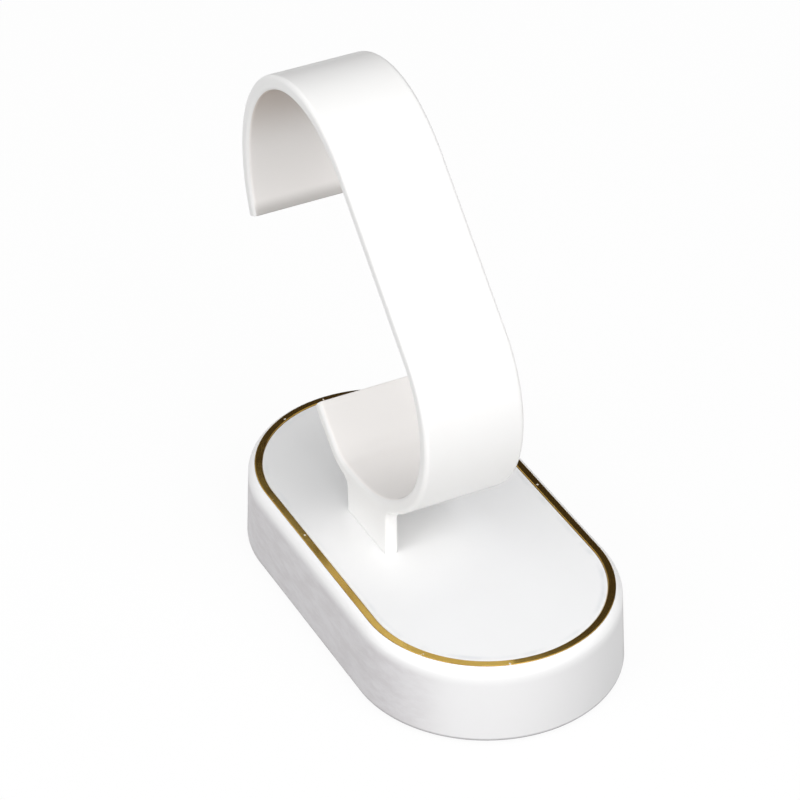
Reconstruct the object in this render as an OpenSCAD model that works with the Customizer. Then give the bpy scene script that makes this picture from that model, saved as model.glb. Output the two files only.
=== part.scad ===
// Watch display stand: a capsule-shaped base with a gilt trim ring round an inlaid top panel,
// and a one-piece open C clip that a watch strap is closed round.
// Millimetres. +Z is up, the base's long axis runs along Y, and the origin lies in the middle
// of the underside. The clip's mouth opens to the back, on the +Y side.

/* [Base] */
// Width of the base across its foot
base_w = 60.5; // [50:0.5:80]
// Length of the base along its foot
base_l = 111.5; // [96:0.5:150]
// Height of the rim above the table
base_h = 19; // [14:0.5:30]
// Draft of the moulded side wall, in degrees
wall_draft = 2.5; // [0:0.5:5]
// Radius of the rounded edge between wall and rim
rim_r = 2.8; // [2:0.1:4]
// Rounding where the wall meets the underside
heel_r = 0.6; // [0.3:0.1:1.2]
// Air under the wall, left by the non-slip sheet
stand_off = 0.4; // [0.2:0.1:1]

/* [Trim ring and top panel] */
// Width of the rim, from the wall to the pocket of ring and panel
rim_w = 1.5; // [1:0.1:2]
// Width of the ring's polished face
ring_w = 1.55; // [1:0.05:3]
// Height of the ring's band
ring_h = 2.5; // [1.5:0.1:4]
// How far the ring stands above the rim
ring_proud = 0.1; // [0:0.05:0.5]
// Thickness of the top panel
panel_t = 2.1; // [1:0.1:4]
// Rounding of the panel's upper edge
panel_edge_r = 0.5; // [0.2:0.1:0.8]
// Clearance round the ring and round the panel
inlay_gap = 0.1; // [0.05:0.05:0.3]

/* [Clip] */
// Width of the clip's strip
clip_w = 23.4; // [16:0.2:30]
// Thickness of the strip
clip_t = 3.4; // [2.8:0.1:5]
// Rounding of the strip's long edges
clip_edge_r = 1.1; // [0.4:0.1:1.3]
// Sideways place of the strip's left side
clip_side_x = -14.4; // [-18:0.1:-8]
// Place of the middle of the level stretch along the base
clip_y = 11.2; // [8:0.1:16]
// Length of the level stretch, where the strip runs lowest
floor_run = 4.2; // [2:0.2:8]
// Radius of the tongue's bend, at mid-thickness
tongue_r = 8.6; // [6:0.1:20]
// Bend of the tongue, in degrees
tongue_angle = 41.5; // [20:0.5:60]
// Straight end of the tongue
tongue_run = 11; // [4:0.2:16]
// Radius of the lower front bend, at mid-thickness
heel_bend_r = 36; // [25:0.5:45]
// Turn of the lower front bend, in degrees
heel_angle = 49.5; // [40:0.5:70]
// Radius of the nose, at mid-thickness
nose_r = 25.4; // [16:0.1:32]
// Turn from the level stretch to the raked front, in degrees
front_angle = 136; // [125:0.5:145]
// Straight of the raked front
front_run = 39.6; // [20:0.2:50]
// Radius of the shoulder above the front, at mid-thickness
shoulder_r = 37; // [25:0.5:60]
// Turn of the shoulder, in degrees
shoulder_angle = 18.5; // [10:0.5:45]
// Radius of the crown, at mid-thickness
crown_r = 27.7; // [18:0.1:32]
// Turn of the crown, in degrees
crown_angle = 104; // [60:1:110]
// Radius of the hook that hangs down at the back, at mid-thickness
hook_r = 35.5; // [25:0.5:60]
// Turn of the hook, in degrees
hook_angle = 35; // [20:0.5:60]

/* [Foot of the clip] */
// Clear height between the rim and the strip
foot_h = 7.8; // [5:0.1:16]
// Thickness of the foot plate
foot_t = 3; // [2:0.1:5]
// Length of the foot plate
foot_l = 19.4; // [12:0.2:24]
// Place of the foot plate's middle along the base
foot_y = 2.8; // [0:0.2:6]
// Rounding of the foot plate's upright edges
foot_edge_r = 0.8; // [0.3:0.1:0.9]
// Fillet between the foot plate and the strip
foot_fillet_r = 2.2; // [0.6:0.1:3]
// Depth of the foot's tab below the rim
tab_depth = 9; // [5:0.5:11]
// Clearance round the tab in its slot
tab_gap = 0.15; // [0.1:0.05:0.4]

/* [Non-slip sheet] */
// Thickness of the sheet
sheet_t = 1.2; // [1.1:0.1:2.5]
// Margin of the sheet inside the wall
sheet_margin = 2.5; // [1.5:0.1:5]
// Clearance of the sheet in its recess
sheet_gap = 0.2; // [0.1:0.05:0.5]

/* [Hidden] */
$fn = 96;
// how far a cutting shape runs past what it cuts
cut_past = 1;
// length and growth of the hair-thin collar round each joint of a sweep, with which
// neighbouring stretches overlap and grow together
collar_l = 0.1;
collar_ratio = 1.001;
// flats that stand in for each rounded long edge of the strip, and for the fillet
edge_flats = 3;
// the base's straight stretch, with a half circle at either end
base_straight = base_l - base_w;
foot_r = base_w / 2;
// the wall's outward normal, and the centre of the rim's rounding, which is tangent to the
// wall and still slopes where the pocket cuts it off at the rim's full height
wall_n = [cos(wall_draft), sin(wall_draft)];
rim_slope = wall_n[0] - rim_w / rim_r;
rim_c_z = base_h - rim_r * sqrt(1 - rim_slope * rim_slope);
rim_c = [wall_radius(rim_c_z) - rim_r / wall_n[0], rim_c_z];
pocket_r = rim_c[0] + rim_r * rim_slope;
ring_r = pocket_r - inlay_gap;
panel_r = ring_r - ring_w - inlay_gap;
pocket_floor = base_h + ring_proud - ring_h;
tab_floor = base_h - tab_depth;
sheet_r = foot_r - sheet_margin;
// the strip's middle line, and its middle surface where it runs level
clip_x = clip_side_x + clip_w / 2;
strip_z = base_h + foot_h + clip_t / 2;
foot_x = clip_side_x + foot_t / 2;
// where the level stretch passes into the lower front bend
bend_y = clip_y - floor_run / 2;
// bends and straights as [radius, degrees] or [length, 0], both ways from the level stretch
front_path = [
    [heel_bend_r, heel_angle],
    [nose_r, front_angle - heel_angle],
    [front_run, 0],
    [shoulder_r, shoulder_angle],
    [crown_r, crown_angle],
    [hook_r, hook_angle]
];
back_path = [
    [tongue_r, tongue_angle],
    [tongue_run, 0]
];

// Radius of the drafted wall at a height
function wall_radius(z) = foot_r - (z - stand_off) * tan(wall_draft);

// Points of a quarter circle about a centre, from a start angle
function quarter(centre, r, from) = [
    for (i = [0 : edge_flats])
        let (turn = from + 90 * i / edge_flats)
            centre + r * [cos(turn), sin(turn)]
];

// A capsule-shaped solid: the half profile (radius, height) turned round both ends
// and drawn out between them.
module capsule_of(straight) {
    translate([0, straight / 2, 0])
        rotate_extrude(angle = 180) children();
    translate([0, -straight / 2, 0])
        rotate([0, 0, 180])
            rotate_extrude(angle = 180) children();
    translate([0, straight / 2, 0])
        rotate([90, 0, 0])
            linear_extrude(straight) {
                children();
                mirror([1, 0]) children();
            }
}

// Upright capsule-shaped prism of a radius between two heights
module capsule_prism(radius, z0, z1) {
    capsule_of(base_straight)
        translate([0, z0]) square([radius, z1 - z0]);
}

// Half profile of the base: rounded heel, drafted wall, rounded rim
module base_profile() {
    heel_c = [wall_radius(stand_off + heel_r) - heel_r / wall_n[0], stand_off + heel_r];
    polygon([
        [0, stand_off],
        [heel_c[0], stand_off],
        heel_c,
        heel_c + heel_r * wall_n,
        rim_c + rim_r * wall_n,
        rim_c,
        [rim_c[0], base_h],
        [0, base_h]
    ]);
    translate(rim_c) circle(rim_r);
    translate(heel_c) circle(heel_r);
}

// Moulded body, with the inlay's pocket, the tab's slot and the sheet's recess
module base_body() {
    color("white") difference() {
        capsule_of(base_straight) base_profile();
        capsule_prism(pocket_r, pocket_floor, base_h + rim_r);
        foot_prism(tab_gap, tab_floor, base_h);
        capsule_prism(sheet_r + sheet_gap, stand_off - cut_past, sheet_t);
    }
}

// Polished band let in between rim and panel
module trim_ring() {
    color("goldenrod")
        capsule_of(base_straight)
            translate([ring_r - ring_w, pocket_floor]) square([ring_w, ring_h]);
}

// Half profile of the panel, with its upper edge rounded
module panel_profile() {
    square([panel_r, panel_t - panel_edge_r]);
    square([panel_r - panel_edge_r, panel_t]);
    translate([panel_r - panel_edge_r, panel_t - panel_edge_r]) circle(panel_edge_r);
}

// Inlaid top panel, slotted for the clip's tab
module top_panel() {
    color("whitesmoke") difference() {
        translate([0, 0, pocket_floor]) capsule_of(base_straight) panel_profile();
        foot_prism(tab_gap, pocket_floor - cut_past, base_h + cut_past);
    }
}

// Upright prism of the foot plate, grown by a clearance
module foot_prism(gap, z0, z1) {
    r = foot_edge_r + gap;
    size = [foot_t + 2 * gap, foot_l + 2 * gap];
    translate([foot_x, foot_y, z0])
        linear_extrude(z1 - z0) {
            square([size[0] - 2 * r, size[1]], center = true);
            square([size[0], size[1] - 2 * r], center = true);
            for (sx = [-1, 1], sy = [-1, 1])
                translate([sx * (size[0] / 2 - r), sy * (size[1] / 2 - r)]) circle(r);
        }
}

// Cross-section of the strip: thickness across, width up, long edges eased by small flats
module strip_section() {
    inner = [clip_t / 2 - clip_edge_r, clip_w / 2 - clip_edge_r];
    polygon(concat(
        quarter([inner[0], inner[1]], clip_edge_r, 0),
        quarter([-inner[0], inner[1]], clip_edge_r, 90),
        quarter([-inner[0], -inner[1]], clip_edge_r, 180),
        quarter([inner[0], -inner[1]], clip_edge_r, 270)
    ));
}

// Cross-section of the fillet in the corner between the strip's underside and the plate
module fillet_section() {
    under = clip_t / 2;
    side = foot_t - clip_w / 2;
    inside = clip_t / 4;
    polygon(concat(
        [[inside, side - inside], [inside, side + foot_fillet_r]],
        quarter([under + foot_fillet_r, side + foot_fillet_r], foot_fillet_r, 180),
        [[under + foot_fillet_r, side - inside]]
    ));
}

// Sweeps the 2D children along bends and straights, from the origin, along +Y and curling
// towards +Z. The children's first axis points out of the curl, and their second along +X.
module sweep(path, i = 0) {
    if (i < len(path)) {
        size = path[i][0];
        turn = path[i][1];
        translate([0, -collar_l / 2, 0])
            straight_of(collar_l) scale(collar_ratio) children();
        if (turn == 0) {
            straight_of(size) children();
            translate([0, size, 0]) sweep(path, i + 1) children();
        } else {
            translate([0, 0, size]) rotate([0, 90, 0])
                rotate_extrude(angle = turn) translate([size, 0]) children();
            translate([0, size * sin(turn), size * (1 - cos(turn))])
                rotate([turn, 0, 0]) sweep(path, i + 1) children();
        }
    }
}

// Straight stretch of a sweep
module straight_of(size) {
    rotate([-90, 0, 0]) linear_extrude(size) mirror([1, -1]) children();
}

// One-piece clip: C-shaped strip, foot plate flush with the strip's left side, and tab
module watch_clip() {
    color("white") {
        translate([clip_x, clip_y, strip_z]) {
            translate([0, floor_run / 2, 0])
                sweep(back_path) strip_section();
            translate([0, -floor_run / 2, 0])
                sweep([[floor_run, 0]]) strip_section();
            translate([0, -floor_run / 2, 0])
                mirror([0, 1, 0]) sweep(front_path) strip_section();
        }
        foot_plate();
        foot_fillet();
    }
}

// Fillet along the plate's inner side, under the level stretch and the lower front bend
module foot_fillet() {
    half_l = foot_l / 2 - foot_edge_r;
    outer_r = heel_bend_r + clip_t / 2 + foot_fillet_r;
    translate([clip_x, bend_y, strip_z]) {
        sweep([[foot_y + half_l - bend_y, 0]]) fillet_section();
        mirror([0, 1, 0])
            sweep([[heel_bend_r, asin((bend_y - foot_y + half_l) / outer_r)]]) fillet_section();
    }
}

// Foot plate with its tab, cut off at the strip's middle surface
module foot_plate() {
    difference() {
        foot_prism(0, tab_floor, strip_z + heel_bend_r / 2);
        translate([foot_x - foot_t, bend_y, strip_z])
            cube([2 * foot_t, foot_l, heel_bend_r]);
        translate([foot_x - foot_t, bend_y, strip_z + heel_bend_r])
            rotate([0, 90, 0]) cylinder(r = heel_bend_r, h = 2 * foot_t);
    }
}

// Thin sheet glued into the underside, which stands on the table
module nonslip_sheet() {
    color("dimgray") capsule_prism(sheet_r, 0, sheet_t);
}

base_body();
trim_ring();
top_panel();
watch_clip();
nonslip_sheet();
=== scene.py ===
# %% [markdown]
# # A watch display stand
#
# The object is small and almost all white: a capsule-shaped base, a gilt ring let into its top,
# a flat panel inside the ring, and a C-shaped clip that stands on the panel and leans back.
# A white object on a white ground is shown only by its light and by its soft edges, so the care
# goes into roundings that run true, and into finishes that aren't quite even.
#
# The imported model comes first. It holds every piece at its real size, and what is made here
# takes its place and height from it.

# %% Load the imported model
from math import asin, cos, degrees, hypot, pi, radians, sin, sqrt, tan

import bmesh
import bpy
from mathutils import Matrix, Vector


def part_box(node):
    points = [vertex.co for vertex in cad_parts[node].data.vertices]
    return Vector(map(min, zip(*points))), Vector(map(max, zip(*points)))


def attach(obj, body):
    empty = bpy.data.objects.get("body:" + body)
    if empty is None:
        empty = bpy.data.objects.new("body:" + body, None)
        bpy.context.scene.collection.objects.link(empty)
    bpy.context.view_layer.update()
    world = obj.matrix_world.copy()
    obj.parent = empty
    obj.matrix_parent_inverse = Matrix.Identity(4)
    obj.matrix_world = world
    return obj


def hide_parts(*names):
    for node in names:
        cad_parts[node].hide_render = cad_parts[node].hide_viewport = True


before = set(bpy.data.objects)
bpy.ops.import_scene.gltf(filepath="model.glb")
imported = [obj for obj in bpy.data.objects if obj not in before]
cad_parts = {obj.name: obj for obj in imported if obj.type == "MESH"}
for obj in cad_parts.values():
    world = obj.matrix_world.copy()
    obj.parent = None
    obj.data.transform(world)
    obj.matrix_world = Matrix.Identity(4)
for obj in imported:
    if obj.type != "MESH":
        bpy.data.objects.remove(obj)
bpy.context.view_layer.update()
MM = 0.001

# %% [markdown]
# ## The camera
#
# The stand was seen from in front, a little from its left, and from 35 degrees above. The
# perspective is weak, so the lens is long and stands well back. The camera's place is written
# as an orbit round the middle of the underside, with a small slide to frame the object and a
# small roll, because the photograph isn't quite level.

# %% Camera
CAMERA_TURN = radians(-26.46)
CAMERA_RISE = radians(35.02)
CAMERA_ROLL = radians(-0.64)
CAMERA_DISTANCE = 802.1 * MM
CAMERA_SLIDE = (-6.98 * MM, 42.0 * MM)
CAMERA_LENS = 162.0
CAMERA_NEAR = 50 * MM


def orbit_camera():
    """A camera on an orbit round the origin, turned, raised, rolled and then slid."""
    level = cos(CAMERA_RISE)
    back = Vector((sin(CAMERA_TURN) * level, -cos(CAMERA_TURN) * level, sin(CAMERA_RISE)))
    right = Vector((cos(CAMERA_TURN), sin(CAMERA_TURN), 0.0))
    roll = Matrix.Rotation(CAMERA_ROLL, 3, back)
    right = roll @ right
    up = back.cross(right)
    camera = bpy.data.objects.new("camera", bpy.data.cameras.new("camera"))
    camera.data.lens = CAMERA_LENS
    camera.data.clip_start = CAMERA_NEAR
    camera.matrix_world = Matrix.Translation(
        back * CAMERA_DISTANCE + right * CAMERA_SLIDE[0] + up * CAMERA_SLIDE[1]
    ) @ Matrix((right, up, back)).transposed().to_4x4()
    bpy.context.scene.collection.objects.link(camera)
    bpy.context.scene.camera = camera
    return camera


camera = orbit_camera()
print("camera at", [round(c, 3) for c in camera.matrix_world.translation], "m")

# %% [markdown]
# ## Node graphs written as sums
#
# A finish is a graph of shader nodes. Written out node by node it is long and hard to read, so
# one small class wraps a socket and lets the usual signs add the Math nodes. Every other node
# comes from one method of the graph, which takes the node's settings and what feeds it.

# %% Wires, graphs and finishes
class Wire:
    """A socket that can be added, multiplied and so on, as a number can."""

    def __init__(self, graph, socket):
        self.graph = graph
        self.socket = socket

    def maths(self, operation, *terms):
        """A Math node with the terms at its sockets, in their order."""
        return self.graph.node("ShaderNodeMath", {"operation": operation}, dict(enumerate(terms)))

    def __add__(self, other):
        return self.maths("ADD", self, other)

    def __radd__(self, other):
        return self.maths("ADD", other, self)

    def __sub__(self, other):
        return self.maths("SUBTRACT", self, other)

    def __rsub__(self, other):
        return self.maths("SUBTRACT", other, self)

    def __mul__(self, other):
        return self.maths("MULTIPLY", self, other)

    def __rmul__(self, other):
        return self.maths("MULTIPLY", other, self)

    def __abs__(self):
        return self.maths("ABSOLUTE", self)

    def root(self):
        return self.maths("SQRT", self)

    def most(self, other):
        return self.maths("MAXIMUM", self, other)


class Graph:
    """A node tree, and one method that adds any node to it."""

    def __init__(self, tree):
        self.tree = tree

    def join(self, value, socket):
        """Feeds a socket from a wire, or sets it to a value."""
        if isinstance(value, Wire):
            self.tree.links.new(value.socket, socket)
        else:
            socket.default_value = value

    def node(self, kind, settings=None, feeds=None, out=0):
        """One node of a kind, with its settings, its fed sockets, and the output asked for."""
        made = self.tree.nodes.new(kind)
        for name, value in (settings or {}).items():
            setattr(made, name, value)
        for socket, value in (feeds or {}).items():
            self.join(value, made.inputs[socket])
        return Wire(self, made.outputs[out])

    def spread(self, value, low, high):
        """Stretches a value so that low becomes 0 and high becomes 1, softly."""
        return self.node(
            "ShaderNodeMapRange",
            {"interpolation_type": "SMOOTHSTEP"},
            {"Value": value, "From Min": low, "From Max": high},
        )

    def shows_background(self):
        """1 for rays that bring the surroundings to the eye, straight or by way of a shiny piece."""
        seen = self.node("ShaderNodeLightPath", out="Is Camera Ray")
        for kind in ("Is Glossy Ray", "Is Transmission Ray"):
            seen = seen.most(self.node("ShaderNodeLightPath", out=kind))
        return seen


class Finish(Graph):
    """A material under construction, with one Principled shader."""

    def __init__(self, name, **fixed):
        self.material = bpy.data.materials.new(name)
        self.material.use_nodes = True
        super().__init__(self.material.node_tree)
        self.shader = self.tree.nodes["Principled BSDF"]
        for socket, value in fixed.items():
            self.feed(socket.replace("_", " "), value)

    def feed(self, socket, value):
        """Feeds a socket of the shader."""
        self.join(value, self.shader.inputs[socket])

    def coordinate(self, axis):
        """Place along one axis of the piece, in millimetres."""
        place = self.node("ShaderNodeTexCoord", out="Object")
        return self.node("ShaderNodeSeparateXYZ", feeds={0: place}, out=axis) * (1 / MM)

    def own(self, name):
        """A value that the mesh itself carries at each of its points."""
        return self.node("ShaderNodeAttribute", {"attribute_name": name}, out="Fac")

    def noise(self, scale, detail=3.0, rough=0.5, stretch=(1.0, 1.0, 1.0)):
        """Cloudy noise with about that many waves per metre, from 0 to 1."""
        place = self.node(
            "ShaderNodeMapping",
            feeds={"Vector": self.node("ShaderNodeTexCoord", out="Object"), "Scale": stretch},
        )
        return self.node(
            "ShaderNodeTexNoise",
            feeds={"Vector": place, "Scale": scale, "Detail": detail, "Roughness": rough},
        )

    def blend(self, share, first, second):
        """A colour between two, by a share. A Mix node has its colours at inputs 6 and 7."""
        return self.node("ShaderNodeMix", {"data_type": "RGBA"}, {0: share, 6: first, 7: second}, out=2)

    def cloudy_roughness(self, low, high, scale, detail=3.0):
        """Lets the roughness drift between two values, as on a gloss that isn't quite even."""
        self.feed("Roughness", self.noise(scale, detail) * (high - low) + low)

    def bump(self, height, depth):
        """Raises the surface by a height of up to that depth in metres."""
        self.feed("Normal", self.node("ShaderNodeBump", feeds={"Height": height, "Distance": depth}))


def grey(level, tint=(1.0, 1.0, 1.0)):
    """An opaque colour: a level times a tint."""
    return (level * tint[0], level * tint[1], level * tint[2], 1.0)


print("wires, graphs and finishes ready")

# %% [markdown]
# ## The studio
#
# The ground is plain white, and the light is broad and soft. Rays that bring the ground to the
# eye see it glow at a strength of 1, and a small share of plain diffuse is kept, so that the
# stand's shadow stays. Light that bounces off the ground on to the stand meets a grey instead,
# or the stand would look lit from below.

# %% Ground
GROUND_SIZE = 6.0
GROUND_LEVEL = 0.95
BOUNCE_LEVEL = 0.35
SHADOW_SHARE = 0.08


def object_of(bm, name):
    """Turns a bmesh into an object of the scene."""
    mesh = bpy.data.meshes.new(name)
    bm.to_mesh(mesh)
    bm.free()
    made = bpy.data.objects.new(name, mesh)
    bpy.context.scene.collection.objects.link(made)
    return made


def lay_ground():
    """A wide floor at the level that the stand rests on."""
    bm = bmesh.new()
    bmesh.ops.create_grid(bm, x_segments=1, y_segments=1, size=GROUND_SIZE / 2)
    ground = object_of(bm, "ground")
    finish = Finish("ground_white", Roughness=0.9, Specular_IOR_Level=0.0)
    white = finish.blend(finish.shows_background(), grey(BOUNCE_LEVEL), grey(GROUND_LEVEL))
    finish.feed("Base Color", white)
    mixed = finish.node(
        "ShaderNodeMixShader",
        feeds={
            0: finish.shows_background() * (1.0 - SHADOW_SHARE),
            1: Wire(finish, finish.shader.outputs[0]),
            2: finish.node("ShaderNodeEmission"),
        },
    )
    finish.join(mixed, finish.tree.nodes["Material Output"].inputs["Surface"])
    ground.data.materials.append(finish.material)


lay_ground()
print("ground laid,", GROUND_SIZE, "m wide")

# %% [markdown]
# Most of the light comes from above, as from a white ceiling. A key lamp stands high in front,
# a second one low in front, and a third on the left. So the raked face of the clip is brightest.
# The walls are greyer towards the sides and the hollow of the hook is darkest at its top, partly
# from these lamps and partly from painted shade in their colours. The strength of each lamp was
# found by lighting the stand with that lamp alone.

# %% Lamps and surroundings
CEILING_GLOW = 0.78
CEILING_FROM = 0.35
CEILING_FULL = 0.55
LAMP_SIZE = 0.7
LAMP_AIM = Vector((0.0, 0.0, 50 * MM))


def soft_lamp(name, watts, place):
    """A square area lamp that points at the stand."""
    lamp = bpy.data.objects.new(name, bpy.data.lights.new(name, "AREA"))
    lamp.data.energy = watts
    lamp.data.size = LAMP_SIZE
    away = Vector(place) - LAMP_AIM
    lamp.matrix_world = Matrix.Translation(place) @ away.to_track_quat("Z", "Y").to_matrix().to_4x4()
    bpy.context.scene.collection.objects.link(lamp)


def surround(glow):
    """White where it is seen or mirrored, and a glow from above for everything else."""
    world = bpy.data.worlds.new("surroundings")
    bpy.context.scene.world = world
    world.use_nodes = True
    graph = Graph(world.node_tree)
    background = world.node_tree.nodes["Background"]
    graph.join(grey(1.0), background.inputs["Color"])
    direction = graph.node("ShaderNodeTexCoord", out="Generated")
    height = graph.node("ShaderNodeSeparateXYZ", feeds={0: direction}, out="Z")
    ceiling = graph.spread(height, CEILING_FROM, CEILING_FULL)
    graph.join(graph.shows_background().most(ceiling * glow), background.inputs["Strength"])


soft_lamp("key_lamp", 3.5, (0.25, -0.8, 0.75))
soft_lamp("front_lamp", 5.3, (-0.2, -1.04, 0.2))
soft_lamp("left_lamp", 4.2, (-0.9, -0.25, 0.4))
surround(CEILING_GLOW)
bpy.context.scene.view_settings.view_transform = "Standard"

# %% [markdown]
# Polished metal shows what stands round it. In the photograph the ring is nearly black at the
# back and on the right, and gold in front and along the left. All of it is mirrored from the
# same part of the room, a few degrees apart, so an edge between dark and light must cross there.
# A dark card stands behind the stand, and its upper edge slopes through the mirrored part.
# Only mirror-like reflections see it: it neither shows in the picture nor takes light away.

# %% Dark card
CARD_BROWN = grey(0.055, (1.0, 0.8, 0.75))
CARD_SIZE = 0.9
CARD_TURN = radians(26.6)
CARD_AWAY = 0.6
CARD_EDGE_HEIGHT = 0.5233
CARD_SLOPE = radians(36.8)


def dark_card():
    """An upright square card, rolled so that its upper edge slopes."""
    away = Vector((sin(CARD_TURN), cos(CARD_TURN), 0.0))
    across = Vector((cos(CARD_TURN), -sin(CARD_TURN), 0.0))
    upwards = Vector((0.0, 0.0, 1.0))
    along_edge = across * cos(CARD_SLOPE) + upwards * sin(CARD_SLOPE)
    off_edge = across * sin(CARD_SLOPE) - upwards * cos(CARD_SLOPE)
    middle = away * CARD_AWAY + upwards * CARD_EDGE_HEIGHT + off_edge * CARD_SIZE / 2
    bm = bmesh.new()
    bmesh.ops.create_grid(bm, x_segments=1, y_segments=1, size=CARD_SIZE / 2)
    turn = Matrix((along_edge, off_edge, -away)).transposed()
    bmesh.ops.rotate(bm, cent=(0, 0, 0), matrix=turn, verts=bm.verts)
    bmesh.ops.translate(bm, vec=middle, verts=bm.verts)
    card = object_of(bm, "dark_card")
    finish = Finish(
        "card_brown", Base_Color=grey(0.0), Roughness=1.0, Specular_IOR_Level=0.0,
        Emission_Color=CARD_BROWN, Emission_Strength=1.0,
    )
    card.data.materials.append(finish.material)
    card.visible_camera = False
    card.visible_diffuse = False
    card.visible_shadow = False


dark_card()
print("card behind the stand,", CARD_SIZE, "m wide")

# %% [markdown]
# ## Plan and heights
#
# Everything in the base has the same plan: a straight stretch with a half circle at each end.
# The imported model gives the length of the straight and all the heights. The finishes need them
# too, because some marks follow the plan's edge.

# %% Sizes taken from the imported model
body_low, body_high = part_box("base_body")
ring_low, ring_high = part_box("trim_ring")
panel_low, panel_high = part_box("top_panel")
clip_low, clip_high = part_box("watch_clip")
sheet_low, sheet_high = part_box("nonslip_sheet")
HALF_STRAIGHT = ring_high[1] - ring_high[0]
RIM_Z = body_high[2]
print("plan: half straight", round(HALF_STRAIGHT / MM, 2), "mm, rim at", round(RIM_Z / MM, 2), "mm")

# %% [markdown]
# ## Finishes
#
# Clip and base are moulded in white plastic with a satin gloss. Against a white ground such a
# piece is drawn by its outline, where the surface turns away and mirrors the darker parts of
# the room. That outline is a painted reflection: a Layer Weight darkens the colour over the
# last few degrees.
#
# Nothing moulded is quite even. The gloss is cloudy and the surface has a faint ripple. The
# hollow of the clip has painted light and shade in its colour: warm low down, for light that has
# bounced off the plastic many times, and darker and warmer the higher it lies, as painted shade.
# Place alone can't tell the hollow from the face behind it, so the clip's mesh carries a value of
# its own, which is 1 along the strip's inner side. Low down at the hook's end that side has a
# little painted grey shade. All places in the finishes are in millimetres.

# %% Clip plastic
PLASTIC_IOR = 1.49
SHEEN = 0.25
OUTLINE_FROM = 0.86
# The outline grey is painted shade, for the darker room mirrored where the surface turns away.
OUTLINE_PAINTED_SHADE = grey(0.25, (1.0, 0.96, 1.0))
INNER_SIDE = "inner_side"


def with_painted_outline(finish, colour, depth):
    """A colour with painted shade that darkens by a depth along the piece's outline."""
    facing = finish.node("ShaderNodeLayerWeight", feeds={"Blend": 0.5}, out="Facing")
    share = finish.spread(facing, OUTLINE_FROM, 1.0) * depth
    return finish.blend(share, colour, OUTLINE_PAINTED_SHADE)


CLIP_DULL = grey(0.9, (1.0, 0.995, 0.985))
CLIP_WHITE = grey(0.93, (1.0, 0.996, 0.99))
# Painted light and shade in the hollow: warm bounce light low down, a darker warm shade up high.
HOLLOW_LOW_BOUNCE_LIGHT = grey(0.95, (1.0, 0.975, 0.955))
HOLLOW_TOP_SHADE = grey(0.62, (1.0, 0.87, 0.78))
HOLLOW_SHADE_RISE = (84.0, 107.0)
# Painted grey shade low down at the hook's end.
HOOK_END_PAINTED_SHADE = grey(0.6, (1.0, 0.97, 0.94))
HOOK_END_ALONG = (40.0, 45.0)
HOOK_END_RISE = (70.5, 73.5)


def clip_plastic():
    """White outside; in the hollow, painted warm light and shade that darkens the higher it lies."""
    finish = Finish("clip_plastic", IOR=PLASTIC_IOR, Specular_IOR_Level=SHEEN)
    height = finish.coordinate("Z")
    plain = finish.blend(finish.noise(55.0), CLIP_DULL, CLIP_WHITE)
    # The hollow's painted shade deepens with height.
    hollow_shade = finish.blend(finish.spread(height, *HOLLOW_SHADE_RISE), HOLLOW_LOW_BOUNCE_LIGHT, HOLLOW_TOP_SHADE)
    # Painted shade low down at the hook's end, on the inner side.
    at_end = finish.spread(finish.coordinate("Y"), *HOOK_END_ALONG)
    hook_end_shade_share = at_end * (1.0 - finish.spread(height, *HOOK_END_RISE))
    hollow_shade = finish.blend(hook_end_shade_share, hollow_shade, HOOK_END_PAINTED_SHADE)
    colour = finish.blend(finish.own(INNER_SIDE), plain, hollow_shade)
    finish.feed("Base Color", with_painted_outline(finish, colour, depth=0.45))
    finish.cloudy_roughness(0.26, 0.38, scale=140.0, detail=4.0)
    finish.bump(finish.noise(900.0, detail=2.0), 0.006 * MM)
    return finish.material


CLIP_PLASTIC = clip_plastic()
print("finish:", CLIP_PLASTIC.name)

# %% [markdown]
# The base's rim is white with a painted highlight. Its wall is a little darker, with painted
# shade that deepens towards the left and right, and on the left it is also mottled. A thin grey
# line of painted contact shade runs round its foot.

# %% Base plastic
# The wall colours hold painted shade, darker towards the left and right than in front.
MOTTLED_LEFT_SHADE = grey(0.64, (1.0, 0.965, 0.985))
LEFT_WALL_SHADE = grey(0.72, (1.0, 0.98, 1.0))
WALL_FRONT = grey(0.82, (1.0, 0.995, 1.0))
RIGHT_WALL_SHADE = grey(0.76, (1.0, 0.995, 1.0))
# The rim's white is a painted highlight, brighter than the wall below it.
RIM_PAINTED_HIGHLIGHT = grey(0.94, (1.0, 0.998, 1.0))
# Painted contact shade: a thin grey line round the foot, where the base meets the ground.
CONTACT_SHADE_GREY = grey(0.3, (1.0, 0.96, 1.0))
LEFT_TO_FRONT = (-30.0, -19.0)
FRONT_TO_RIGHT = (-2.0, 26.0)
WALL_TO_LIT_RIM = (14.5, 17.5)
CONTACT_SHADE_FADE = (0.2, 1.0)


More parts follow.
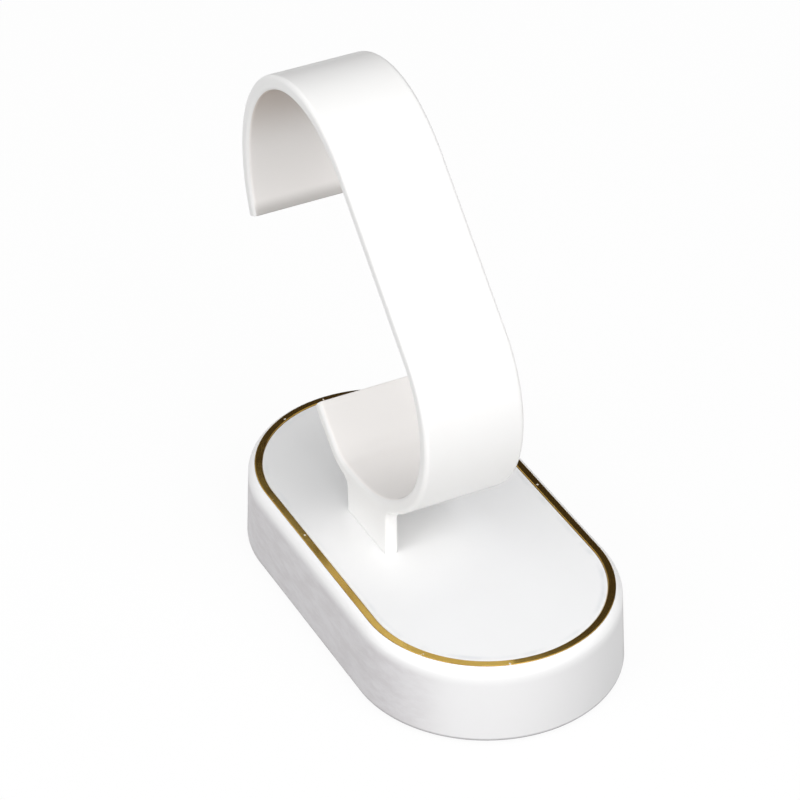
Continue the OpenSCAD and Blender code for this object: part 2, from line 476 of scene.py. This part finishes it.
def base_plastic():
    """A wall with painted side shade and left mottle, a painted rim highlight, painted contact shade.
    """
    finish = Finish("base_plastic", IOR=PLASTIC_IOR, Specular_IOR_Level=SHEEN)
    height, across = finish.coordinate("Z"), finish.coordinate("X")
    wall_mottle = finish.noise(240.0, detail=7.0, rough=0.65, stretch=(1.0, 0.6, 1.8))
    # Mottle on the left, within painted shade that darkens the wall towards both sides.
    left = finish.blend(finish.spread(wall_mottle, 0.34, 0.66), MOTTLED_LEFT_SHADE, LEFT_WALL_SHADE)
    wall = finish.blend(finish.spread(across, *LEFT_TO_FRONT), left, WALL_FRONT)
    wall = finish.blend(finish.spread(across, *FRONT_TO_RIGHT), wall, RIGHT_WALL_SHADE)
    # Painted highlight: the wall turns white towards the rim.
    lit_rim = finish.blend(finish.spread(height, *WALL_TO_LIT_RIM), wall, RIM_PAINTED_HIGHLIGHT)
    # Painted contact shade along the foot.
    contact_shade = 1.0 - finish.spread(height - body_low[2] / MM, *CONTACT_SHADE_FADE)
    colour = finish.blend(contact_shade, lit_rim, CONTACT_SHADE_GREY)
    finish.feed("Base Color", with_painted_outline(finish, colour, depth=0.6))
    finish.cloudy_roughness(0.26, 0.4, scale=120.0, detail=4.0)
    finish.bump(finish.noise(700.0), 0.008 * MM)
    return finish.material


BASE_PLASTIC = base_plastic()
print("finish:", BASE_PLASTIC.name)

# %% [markdown]
# The panel is cooler and softly matt, with painted light round the clip's foot and painted
# shade behind it. A faint bluish band runs along its edge.

# %% Panel plastic
PANEL_DULL = grey(0.885, (0.987, 0.99, 1.0))
PANEL_WHITE = grey(0.91, (0.991, 0.994, 1.0))
# Painted shade: the panel greys towards the back, behind the clip.
PAINTED_BACK_SHADE = grey(0.83, (0.99, 0.995, 1.0))
BACK_SHADE_FADE = (0.0, 26.0)
BAND_BLUE = grey(0.81, (0.96, 0.98, 1.0))
BAND_MIDDLE = 1.0
BAND_HALF = 0.9
# Painted light: a pale pool round the clip's foot.
PAINTED_FOOT_LIGHT = grey(0.97)
PAINTED_LIGHT_PLACE = (-12.0, -3.0)
PAINTED_LIGHT_FADE = (6.0, 26.0)


def inward(finish):
    """Distance in millimetres from the panel's edge towards the plan's middle line."""
    across = finish.coordinate("X")
    past = (abs(finish.coordinate("Y")) - HALF_STRAIGHT / MM).most(0.0)
    return panel_high[0] / MM - (across * across + past * past).root()


def panel_plastic():
    """White that changes slowly, painted light round the foot, painted shade behind, a cool edge band.
    """
    finish = Finish("panel_plastic", IOR=PLASTIC_IOR, Specular_IOR_Level=SHEEN)
    along = finish.coordinate("Y")
    plain = finish.blend(finish.noise(40.0, detail=2.0), PANEL_DULL, PANEL_WHITE)
    # Painted shade behind the clip.
    plain = finish.blend(finish.spread(along, *BACK_SHADE_FADE), plain, PAINTED_BACK_SHADE)
    in_band = 1.0 - finish.spread(abs(inward(finish) - BAND_MIDDLE), 0.0, BAND_HALF)
    band = in_band * finish.spread(finish.noise(160.0), 0.35, 0.7)
    edged = finish.blend(band, plain, BAND_BLUE)
    # Painted light round the clip's foot.
    aside = finish.coordinate("X") - PAINTED_LIGHT_PLACE[0]
    ahead = along - PAINTED_LIGHT_PLACE[1]
    pale = 1.0 - finish.spread((aside * aside + ahead * ahead).root(), *PAINTED_LIGHT_FADE)
    finish.feed("Base Color", finish.blend(pale, edged, PAINTED_FOOT_LIGHT))
    finish.cloudy_roughness(0.3, 0.4, scale=200.0)
    finish.bump(finish.noise(1500.0, detail=2.0), 0.004 * MM)
    return finish.material


PANEL_PLASTIC = panel_plastic()
print("finish:", PANEL_PLASTIC.name)

# %% [markdown]
# The ring is thin polished metal with a gilt colour. Its polish isn't perfect: fine waves
# stretch what it mirrors, and a few pale specks of dust and polish sit on it. The sheet under
# the base is dark foam rubber with open pores.

# %% Gilt and foam
GOLD_DEEP = grey(0.6, (1.0, 0.63, 0.13))
GOLD_PALE = grey(0.74, (1.0, 0.7, 0.19))
GOLD_ROUGHNESS = 0.07
GOLD_DRIFT = 0.06
SPECK_WHITE = grey(0.75, (1.0, 0.95, 0.85))
SPECK_ROUGHNESS = 0.4
PORE_BLACK = grey(0.012)
FOAM_GREY = grey(0.045)
PORE_DEPTH = 0.06 * MM


def gilt():
    """Polished gilt, and a few pale specks that aren't metal."""
    finish = Finish("gilt_metal")
    gold = finish.blend(finish.noise(90.0), GOLD_DEEP, GOLD_PALE)
    specks = finish.spread(finish.noise(800.0, detail=1.0), 0.75, 0.79)
    finish.feed("Base Color", finish.blend(specks, gold, SPECK_WHITE))
    finish.feed("Metallic", 1.0 - specks)
    drift = finish.noise(250.0) * GOLD_DRIFT
    finish.feed("Roughness", specks * SPECK_ROUGHNESS + drift + GOLD_ROUGHNESS)
    finish.bump(finish.noise(300.0), 0.005 * MM)
    return finish.material


def foam_rubber():
    """Dark foam with open pores."""
    finish = Finish("foam_rubber", Roughness=0.9)
    solid = finish.spread(finish.noise(1800.0), 0.35, 0.6)
    finish.feed("Base Color", finish.blend(solid, PORE_BLACK, FOAM_GREY))
    finish.bump(solid, PORE_DEPTH)
    return finish.material


GILT = gilt()
FOAM = foam_rubber()
print("gilt and foam:", GILT.name, FOAM.name)

# %% [markdown]
# ## From a bmesh to a finished piece
#
# Each piece ends the same way: doubles are merged, the faces are turned outwards, the shading
# is smooth except at real corners, and the piece rides on the stand's one body and stands for
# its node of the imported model.

# %% Finishing a piece
CORNER = radians(32)
SAME_PLACE = 0.5e-6


def finished(bm, name, node, material):
    """Makes an object of a bmesh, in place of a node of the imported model."""
    bmesh.ops.remove_doubles(bm, verts=bm.verts, dist=SAME_PLACE)
    bmesh.ops.recalc_face_normals(bm, faces=bm.faces)
    open_edges = sum(len(e.link_faces) != 2 for e in bm.edges)
    piece = object_of(bm, name)
    faces = piece.data.polygons
    faces.foreach_set("use_smooth", [True] * len(faces))
    piece.data.set_sharp_from_angle(angle=CORNER)
    piece.data.materials.append(material)
    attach(piece, "root")
    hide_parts(node)
    size = [round(d / MM, 1) for d in piece.dimensions]
    print(name, len(faces), "faces,", size, "mm,", open_edges, "open edges")
    return piece


def edges_of(geometry):
    """The edges among the points, edges and faces that an operator gives back."""
    return [e for e in geometry if isinstance(e, bmesh.types.BMEdge)]


def verts_of(geometry):
    """The points among them."""
    return [v for v in geometry if isinstance(v, bmesh.types.BMVert)]


def draw_out(bm, edges, move):
    """Extrudes edges by a move. Gives the new points and, of the new edges, the far ones alone."""
    made = bmesh.ops.extrude_edge_only(bm, edges=edges)["geom"]
    fresh = verts_of(made)
    bmesh.ops.translate(bm, verts=fresh, vec=move)
    return fresh, [e for e in edges_of(made) if all(v in fresh for v in e.verts)]


print("finishing ready, corners from", round(degrees(CORNER)), "degrees")

# %% [markdown]
# ## The base
#
# One kind of sweep makes everything in the base. A profile of points, each with its distance
# from the middle line and its height, is spun half a turn, drawn out along the straight, and
# spun and drawn again until it meets itself. A box with beveled corners would be quicker, but
# its roundings would pinch at the ends.

# %% Sweeping a profile round the plan
TURN_STEPS = 96


def swept_round(profile, closed=False):
    """A bmesh with the profile swept once round the capsule-shaped plan."""
    bm = bmesh.new()
    verts = [bm.verts.new((radius, HALF_STRAIGHT, height)) for radius, height in profile]
    pairs = list(zip(verts, verts[1:])) + ([(verts[-1], verts[0])] if closed else [])
    front = verts + [bm.edges.new(pair) for pair in pairs]
    for end in (HALF_STRAIGHT, -HALF_STRAIGHT):
        spun = bmesh.ops.spin(
            bm, geom=front, cent=(0.0, end, 0.0), axis=(0.0, 0.0, 1.0), dvec=(0.0, 0.0, 0.0),
            angle=pi, steps=TURN_STEPS, use_merge=False, use_duplicate=False,
        )
        points, edges = draw_out(bm, edges_of(spun["geom_last"]), (0.0, -2.0 * end, 0.0))
        front = points + edges
    bmesh.ops.remove_doubles(bm, verts=bm.verts, dist=SAME_PLACE)
    if not closed:
        bmesh.ops.holes_fill(bm, edges=[e for e in bm.edges if e.is_boundary], sides=0)
    return bm


def arc(centre, radius, start, end, steps):
    """Points along an arc of a profile, with angles in radians from the outward direction."""
    angles = [start + (end - start) * i / steps for i in range(steps + 1)]
    return [(centre[0] + radius * cos(a), centre[1] + radius * sin(a)) for a in angles]


print("sweep ready,", TURN_STEPS, "steps to a half turn")

# %% [markdown]
# The body is a drafted wall between a small heel and a soft rim. The rim's rounding is larger
# than its width, so it is cut off by the ring's pocket while it still slopes, and it catches a
# broad band of light. Inside are the pocket for ring and panel and, below, the sheet's recess.

# %% Base body
WALL_DRAFT = radians(2.5)
RIM_R = 2.8 * MM
RIM_STEPS = 20
EDGE_WIDTH = 1.5 * MM
HEEL_R = 0.6 * MM
HEEL_STEPS = 8
SHEET_GAP = 0.2 * MM
FLAT_GUARD = 0.25 * MM

HEEL_Z = body_low[2]
FOOT_R = body_high[0] + HEEL_R * (tan(WALL_DRAFT) + 1 / cos(WALL_DRAFT) - 1)
POCKET_Z = ring_low[2]


def wall_radius(height):
    """Half width of the drafted wall at a height."""
    return FOOT_R - (height - HEEL_Z) * tan(WALL_DRAFT)


def base_profile():
    """From the middle of the recess's ceiling, round the wall, to the pocket's floor."""
    slope = cos(WALL_DRAFT) - EDGE_WIDTH / RIM_R
    cut_angle = pi / 2 - asin(slope)
    rim_z = RIM_Z - RIM_R * sin(cut_angle)
    rim = (wall_radius(rim_z + RIM_R * sin(WALL_DRAFT)) - RIM_R * cos(WALL_DRAFT), rim_z)
    heel_z = HEEL_Z + HEEL_R
    heel = (wall_radius(heel_z) - HEEL_R / cos(WALL_DRAFT), heel_z)
    pocket = rim[0] + RIM_R * cos(cut_angle)
    recess = sheet_high[0] + SHEET_GAP
    return [
        (recess - FLAT_GUARD, sheet_high[2]),
        (recess, sheet_high[2]),
        (recess, HEEL_Z),
        (heel[0] - FLAT_GUARD, HEEL_Z),
        *arc(heel, HEEL_R, -pi / 2, WALL_DRAFT, HEEL_STEPS),
        *arc(rim, RIM_R, WALL_DRAFT, cut_angle, RIM_STEPS),
        (pocket, POCKET_Z),
        (pocket - FLAT_GUARD, POCKET_Z),
    ]


base = finished(swept_round(base_profile()), "moulded_base", "base_body", BASE_PLASTIC)

# %% [markdown]
# The ring is a closed profile: a flat top with two tiny roundings that give it its bright
# edges. The panel has a rounded upper edge and ends just under the ring's top, so that the
# ring's inner wall hardly shows. A narrow band of flat faces beside each rounding keeps the
# smooth shading from spilling over the whole flat.

# %% Trim ring and top panel
RING_W = 1.55 * MM
RING_EDGE_R = 0.06 * MM
RING_EDGE_STEPS = 6
PANEL_EDGE_R = 0.3 * MM
PANEL_EDGE_STEPS = 8
PANEL_LIFT = 0.3 * MM


def ring_profile():
    """Round the ring's section, from its lower inner corner."""
    outer, inner = ring_high[0], ring_high[0] - RING_W
    top = ring_high[2]
    edge_z = top - RING_EDGE_R
    return [
        (inner, ring_low[2]),
        (outer, ring_low[2]),
        *arc((outer - RING_EDGE_R, edge_z), RING_EDGE_R, 0.0, pi / 2, RING_EDGE_STEPS),
        (outer - 2 * RING_EDGE_R, top),
        (inner + 2 * RING_EDGE_R, top),
        *arc((inner + RING_EDGE_R, edge_z), RING_EDGE_R, pi / 2, pi, RING_EDGE_STEPS),
    ]


def panel_profile():
    """From the panel's underside, up its edge and on to its top."""
    outer, top = panel_high[0], panel_high[2] + PANEL_LIFT
    edge = (outer - PANEL_EDGE_R, top - PANEL_EDGE_R)
    return [
        (outer - FLAT_GUARD, panel_low[2]),
        (outer, panel_low[2]),
        *arc(edge, PANEL_EDGE_R, 0.0, pi / 2, PANEL_EDGE_STEPS),
        (outer - PANEL_EDGE_R - FLAT_GUARD, top),
    ]


finished(swept_round(ring_profile(), closed=True), "gilt_ring", "trim_ring", GILT)
panel = finished(swept_round(panel_profile()), "inlaid_panel", "top_panel", PANEL_PLASTIC)

# %% [markdown]
# ## The clip
#
# The clip is one moulding: a strip of even thickness, bent into an open C in one plane. It is
# made by sweeping its cross-section, with a spin for each bend and a plain extrusion for each
# straight. All bends are tangent, so no curve has to be worked out: each one starts where the
# last one ended, and curls the same way.
#
# The section is a rectangle with its corners beveled round. Each of its sides gets one more
# point beside each rounding, which keeps the smooth shading off the flats. The points of the
# upper side are marked as the inner side here, and the sweep copies that mark along the strip.

# %% Cross-section of the strip
STRIP_T = 3.4 * MM
STRIP_EDGE_R = 1.1 * MM
STRIP_EDGE_STEPS = 10
SIDE_GUARD = 0.12 * MM
INNER_FROM = 0.45 * STRIP_T

TAB_DEPTH = 9 * MM
FOOT_H = 7.8 * MM
STRIP_W = clip_high[0] - clip_low[0]
STRIP_X = (clip_high[0] + clip_low[0]) / 2
STRIP_Z = clip_low[2] + TAB_DEPTH + FOOT_H + STRIP_T / 2
LEVEL_Y = 11.2 * MM
LEVEL_RUN = 4.2 * MM
BEND_Y = LEVEL_Y - LEVEL_RUN / 2


def strip_section():
    """A bmesh with the rounded section as a closed loop of edges, across the level stretch."""
    bm = bmesh.new()
    bmesh.ops.create_grid(bm, x_segments=1, y_segments=1, size=0.5)
    bmesh.ops.scale(bm, vec=(STRIP_W, STRIP_T, 1.0), verts=bm.verts)
    bmesh.ops.bevel(
        bm, geom=bm.verts[:], affect="VERTICES", offset=STRIP_EDGE_R, offset_type="OFFSET",
        segments=STRIP_EDGE_STEPS, profile=0.5, material=-1,
    )
    for edge in [e for e in bm.edges if e.calc_length() > 3 * SIDE_GUARD]:
        first, last = edge.verts
        share = SIDE_GUARD / edge.calc_length()
        rest = bmesh.utils.edge_split(edge, first, share)[0]
        longer = max(rest, edge, key=lambda e: e.calc_length())
        bmesh.utils.edge_split(longer, last, share / (1 - share))
    bmesh.ops.delete(bm, geom=bm.faces[:], context="FACES_ONLY")
    bmesh.ops.rotate(bm, cent=(0, 0, 0), matrix=Matrix.Rotation(pi / 2, 3, "X"), verts=bm.verts)
    bmesh.ops.translate(bm, vec=(STRIP_X, BEND_Y, STRIP_Z), verts=bm.verts)
    inner = bm.verts.layers.float.new(INNER_SIDE)
    for vert in bm.verts:
        vert[inner] = 1.0 if vert.co.z > STRIP_Z + INNER_FROM else 0.0
    return bm


clip_bm = strip_section()
section_length = sum(e.calc_length() for e in clip_bm.edges)
print("section:", len(clip_bm.verts), "points round", round(section_length / MM, 1), "mm")

# %% [markdown]
# Seen from the side, the strip is level over the foot. Forwards it bends up through heel and
# nose into the straight leaning front, then through shoulder and crown to the hook. Backwards
# it runs level for a little, bends up once and ends as the tongue. Each path lists a bend as its
# radius and angle in degrees, and a straight as its length and no angle. Each free end stops
# short by the radius of its rounding, which is put on afterwards.

# %% Bends and straights, both ways from the start of the level stretch
END_R = 0.35 * MM
HEEL_BEND_R = 36.0 * MM
NOSE_R = 25.4 * MM
FRONT_RUN = 39.59 * MM
SHOULDER_R = 37.0 * MM
CROWN_R = 27.7 * MM
HOOK_R = 35.5 * MM
FRONT_PATH = [
    (HEEL_BEND_R, 49.5),
    (NOSE_R, 86.5),
    (FRONT_RUN, 0.0),
    (SHOULDER_R, 18.5),
    (CROWN_R, 104.0),
    (HOOK_R, 35.0 - degrees(END_R / HOOK_R)),
]
TONGUE_R = 8.6 * MM
TONGUE_RUN = 11.0 * MM
BACK_PATH = [(LEVEL_RUN, 0.0), (TONGUE_R, 41.5), (TONGUE_RUN - END_R, 0.0)]
BEND_STEP = 1.0
LEAST_STEPS = 4
STRAIGHT_STEP = 1.0 * MM


def sweep_strip(bm, loop, path, way):
    """Sweeps the loop along bends (radius, degrees) and straights (length, 0), towards +Y or -Y."""
    spot = Vector((0.0, BEND_Y, STRIP_Z))
    heading = 0.0
    front = loop
    for size, turn in path:
        if turn:
            middle = spot + size * Vector((0.0, -way * sin(heading), cos(heading)))
            spun = bmesh.ops.spin(
                bm, geom=front, cent=middle, axis=(1.0, 0.0, 0.0), dvec=(0.0, 0.0, 0.0),
                angle=way * radians(turn), steps=max(LEAST_STEPS, round(turn / BEND_STEP)),
                use_merge=False, use_duplicate=False,
            )
            front = spun["geom_last"]
            spot = middle + Matrix.Rotation(way * radians(turn), 3, "X") @ (spot - middle)
            heading += radians(turn)
        else:
            count = max(1, round(size / STRAIGHT_STEP))
            move = size / count * Vector((0.0, way * cos(heading), sin(heading)))
            for _ in range(count):
                points, edges = draw_out(bm, edges_of(front), move)
                front = points + edges
            spot = spot + move * count
    return front


start = clip_bm.verts[:] + clip_bm.edges[:]
hook_end = sweep_strip(clip_bm, start, FRONT_PATH, -1)
tongue_end = sweep_strip(clip_bm, start, BACK_PATH, 1)
print("strip swept:", len(clip_bm.faces), "faces")

# %% [markdown]
# The two free ends are closed and their edges softened. Where the foot plate stands under the
# strip, the two share one flat side. So there the strip's rounded lower edge is drawn out to a
# square corner, which comes back softly in front of the plate and behind it.

# %% Closing the ends and squaring the edge over the foot
END_STEPS = 6
FOOT_T = 3.0 * MM
FOOT_L = 19.4 * MM
FOOT_Y = 2.8 * MM
FOOT_SIDE_X = clip_low[0]
SQUARE_FADE = 1.8 * MM
NEAR_FOOT = 12 * MM


def close_end(bm, front):
    """Closes a free end with a cap that has a small rounding round it."""
    cap = bmesh.ops.edgeloop_fill(bm, edges=edges_of(front))["faces"]
    bmesh.ops.recalc_face_normals(bm, faces=bm.faces)
    for step in range(END_STEPS):
        low, high = (pi / 2 * i / END_STEPS for i in (step, step + 1))
        bmesh.ops.inset_region(
            bm, faces=cap, use_even_offset=True,
            thickness=END_R * (cos(low) - cos(high)), depth=END_R * (sin(high) - sin(low)),
        )


def smooth_share(value, low, high):
    """0 below low, 1 above high, and a soft rise between."""
    share = min(1.0, max(0.0, (value - low) / (high - low)))
    return share * share * (3 - 2 * share)


def below_middle(co):
    """Depth of a point under the strip's middle surface near the foot, and the way down there."""
    level_end = BEND_Y + LEVEL_RUN
    if BEND_Y <= co.y <= level_end:
        return STRIP_Z - co.z, Vector((0.0, 0.0, -1.0))
    radius = HEEL_BEND_R if co.y < BEND_Y else TONGUE_R
    arm = Vector((0.0, co.y - min(max(co.y, BEND_Y), level_end), co.z - STRIP_Z - radius))
    return arm.length - radius, arm.normalized()


def square_over_foot(bm):
    """Draws the rounded lower left edge out to a square corner over the foot plate."""
    inner_x = STRIP_X - STRIP_W / 2 + STRIP_EDGE_R
    inner_depth = STRIP_T / 2 - STRIP_EDGE_R
    moved = 0
    for vert in bm.verts:
        reach = abs(vert.co.y - FOOT_Y) - FOOT_L / 2
        share = 1.0 - smooth_share(reach, 0.0, SQUARE_FADE)
        if share == 0.0 or vert.co.z > STRIP_Z + NEAR_FOOT:
            continue
        depth, down = below_middle(vert.co)
        out, deep = inner_x - vert.co.x, depth - inner_depth
        if min(out, deep) <= 0.0:
            continue
        growth = share * (STRIP_EDGE_R / max(out, deep) - 1.0)
        vert.co += down * deep * growth
        vert.co.x -= out * growth
        moved += 1
    return moved


close_end(clip_bm, hook_end)
close_end(clip_bm, tongue_end)
print("ends closed;", square_over_foot(clip_bm), "points squared over the foot")

# %% [markdown]
# The foot plate is a slim upright plate that grows out of the strip's underside. Its outline is
# drawn upwards ring by ring, and the last rings spread out as a fillet until they lie along the
# strip. On the left, where plate and strip are flush, nothing spreads. One more ring is sunk
# into the strip, so that the plate is closed inside it and no gap can show.

# %% Foot plate
FOOT_EDGE_R = 0.8 * MM
FOOT_EDGE_STEPS = 8
FILLET_R = 2.2 * MM
FILLET_STEPS = 10
FOOT_CUTS = 36
TAB_Z = clip_low[2]
SUNK = 0.4 * MM
SUNK_INSET = 0.3 * MM


def underside(y):
    """Height of the strip's underside at a place along the base."""
    past = max(0.0, BEND_Y - y, y - BEND_Y - LEVEL_RUN)
    radius = HEEL_BEND_R if y < BEND_Y else TONGUE_R
    return STRIP_Z + radius - sqrt((radius + STRIP_T / 2) ** 2 - past**2)


def rounded_plate(length, width, edge_r, cuts):
    """A bmesh with one flat face: a rectangle with round corners, round the origin."""
    bm = bmesh.new()
    bmesh.ops.create_grid(bm, x_segments=1, y_segments=1, size=0.5)
    bmesh.ops.scale(bm, vec=(width, length, 1.0), verts=bm.verts)
    bmesh.ops.bevel(
        bm, geom=bm.verts[:], affect="VERTICES", offset=edge_r, offset_type="OFFSET",
        segments=FOOT_EDGE_STEPS, profile=0.5, material=-1,
    )
    bmesh.ops.delete(bm, geom=bm.faces[:], context="FACES_ONLY")
    long_sides = [e for e in bm.edges if e.calc_length() > length / 2]
    bmesh.ops.subdivide_edges(bm, edges=long_sides, cuts=cuts)
    bmesh.ops.edgeloop_fill(bm, edges=bm.edges[:])
    return bm


def drawn_from(vert, fresh):
    """The new point that was drawn out of a point."""
    return next(e.other_vert(vert) for e in vert.link_edges if e.other_vert(vert) in fresh)


def foot_plate():
    """The plate, from the tab's lower end up into the strip."""
    bm = rounded_plate(FOOT_L, FOOT_T, FOOT_EDGE_R, FOOT_CUTS)
    middle = Vector((FOOT_SIDE_X + FOOT_T / 2, FOOT_Y, TAB_Z))
    bmesh.ops.translate(bm, vec=middle, verts=bm.verts)
    core_x, core_y = FOOT_T / 2 - FOOT_EDGE_R, FOOT_L / 2 - FOOT_EDGE_R
    ring = [(vert, vert.co.copy()) for vert in bm.verts]
    loop = bm.edges[:]

    def place(vert, co, angle):
        """Puts a point of a ring at its place in the fillet, with the angle from upright to flat."""
        out_x = co.x - middle.x - max(-core_x, min(core_x, co.x - middle.x))
        out_y = co.y - middle.y - max(-core_y, min(core_y, co.y - middle.y))
        spread = FILLET_R * (1 - cos(angle)) / hypot(out_x, out_y)
        vert.co.x = co.x + max(0.0, out_x) * spread
        vert.co.y = co.y + out_y * spread
        vert.co.z = underside(vert.co.y) - FILLET_R * (1 - sin(angle))

    for step in range(FILLET_STEPS + 2):
        fresh, loop = draw_out(bm, loop, (0.0, 0.0, 0.0))
        ring = [(drawn_from(vert, fresh), co) for vert, co in ring]
        for vert, co in ring:
            place(vert, co, min(step, FILLET_STEPS) / FILLET_STEPS * pi / 2)
            if step > FILLET_STEPS:
                vert.co.z += SUNK
                vert.co.x += SUNK_INSET if co.x < middle.x else -SUNK_INSET
    bmesh.ops.edgeloop_fill(bm, edges=loop)
    return bm


foot_bm = foot_plate()
foot_mesh = bpy.data.meshes.new("foot")
foot_bm.to_mesh(foot_mesh)
foot_bm.free()
clip_bm.from_mesh(foot_mesh)
bpy.data.meshes.remove(foot_mesh)
finished(clip_bm, "strap_clip", "watch_clip", CLIP_PLASTIC)

# %% [markdown]
# The tab goes down through the panel into the base. Both have a slot for it, with a hair's
# breadth all round, so that the foot seems to grow out of the panel. A Boolean cuts it.

# %% Slot for the tab
TAB_GAP = 0.04 * MM


def cut_slot(piece):
    """Cuts the slot for the tab into a piece."""
    bm = rounded_plate(FOOT_L + 2 * TAB_GAP, FOOT_T + 2 * TAB_GAP, FOOT_EDGE_R + TAB_GAP, 1)
    grown = bmesh.ops.extrude_face_region(bm, geom=bm.faces[:])["geom"]
    bmesh.ops.translate(bm, vec=(0.0, 0.0, RIM_Z), verts=verts_of(grown))
    bmesh.ops.translate(bm, vec=(FOOT_SIDE_X + FOOT_T / 2, FOOT_Y, TAB_Z - TAB_GAP), verts=bm.verts)
    bmesh.ops.recalc_face_normals(bm, faces=bm.faces)
    cutter = object_of(bm, "slot_cutter")
    cut = piece.modifiers.new("slot", "BOOLEAN")
    cut.operation = "DIFFERENCE"
    cut.solver = "EXACT"
    cut.object = cutter
    graph = bpy.context.evaluated_depsgraph_get()
    spent = (piece.data, cutter.data)
    piece.data = bpy.data.meshes.new_from_object(piece.evaluated_get(graph))
    piece.modifiers.clear()
    bpy.data.objects.remove(cutter)
    for mesh in spent:
        bpy.data.meshes.remove(mesh)
    piece.data.set_sharp_from_angle(angle=CORNER)
    print(piece.name, "slotted,", len(piece.data.polygons), "faces")


cut_slot(panel)
cut_slot(base)

# %% [markdown]
# ## The sheet underneath
#
# The base stands on a sheet of foam rubber, a little smaller than its plan. From the side only
# its edge shows, as a dark line of shadow under the heel.

# %% Foam sheet
def sheet_profile():
    """From the sheet's underside, up its edge and on to its top."""
    outer = sheet_high[0]
    return [
        (outer - FLAT_GUARD, sheet_low[2]),
        (outer, sheet_low[2]),
        (outer, sheet_high[2]),
        (outer - FLAT_GUARD, sheet_high[2]),
    ]


finished(swept_round(sheet_profile()), "foam_sheet", "nonslip_sheet", FOAM)
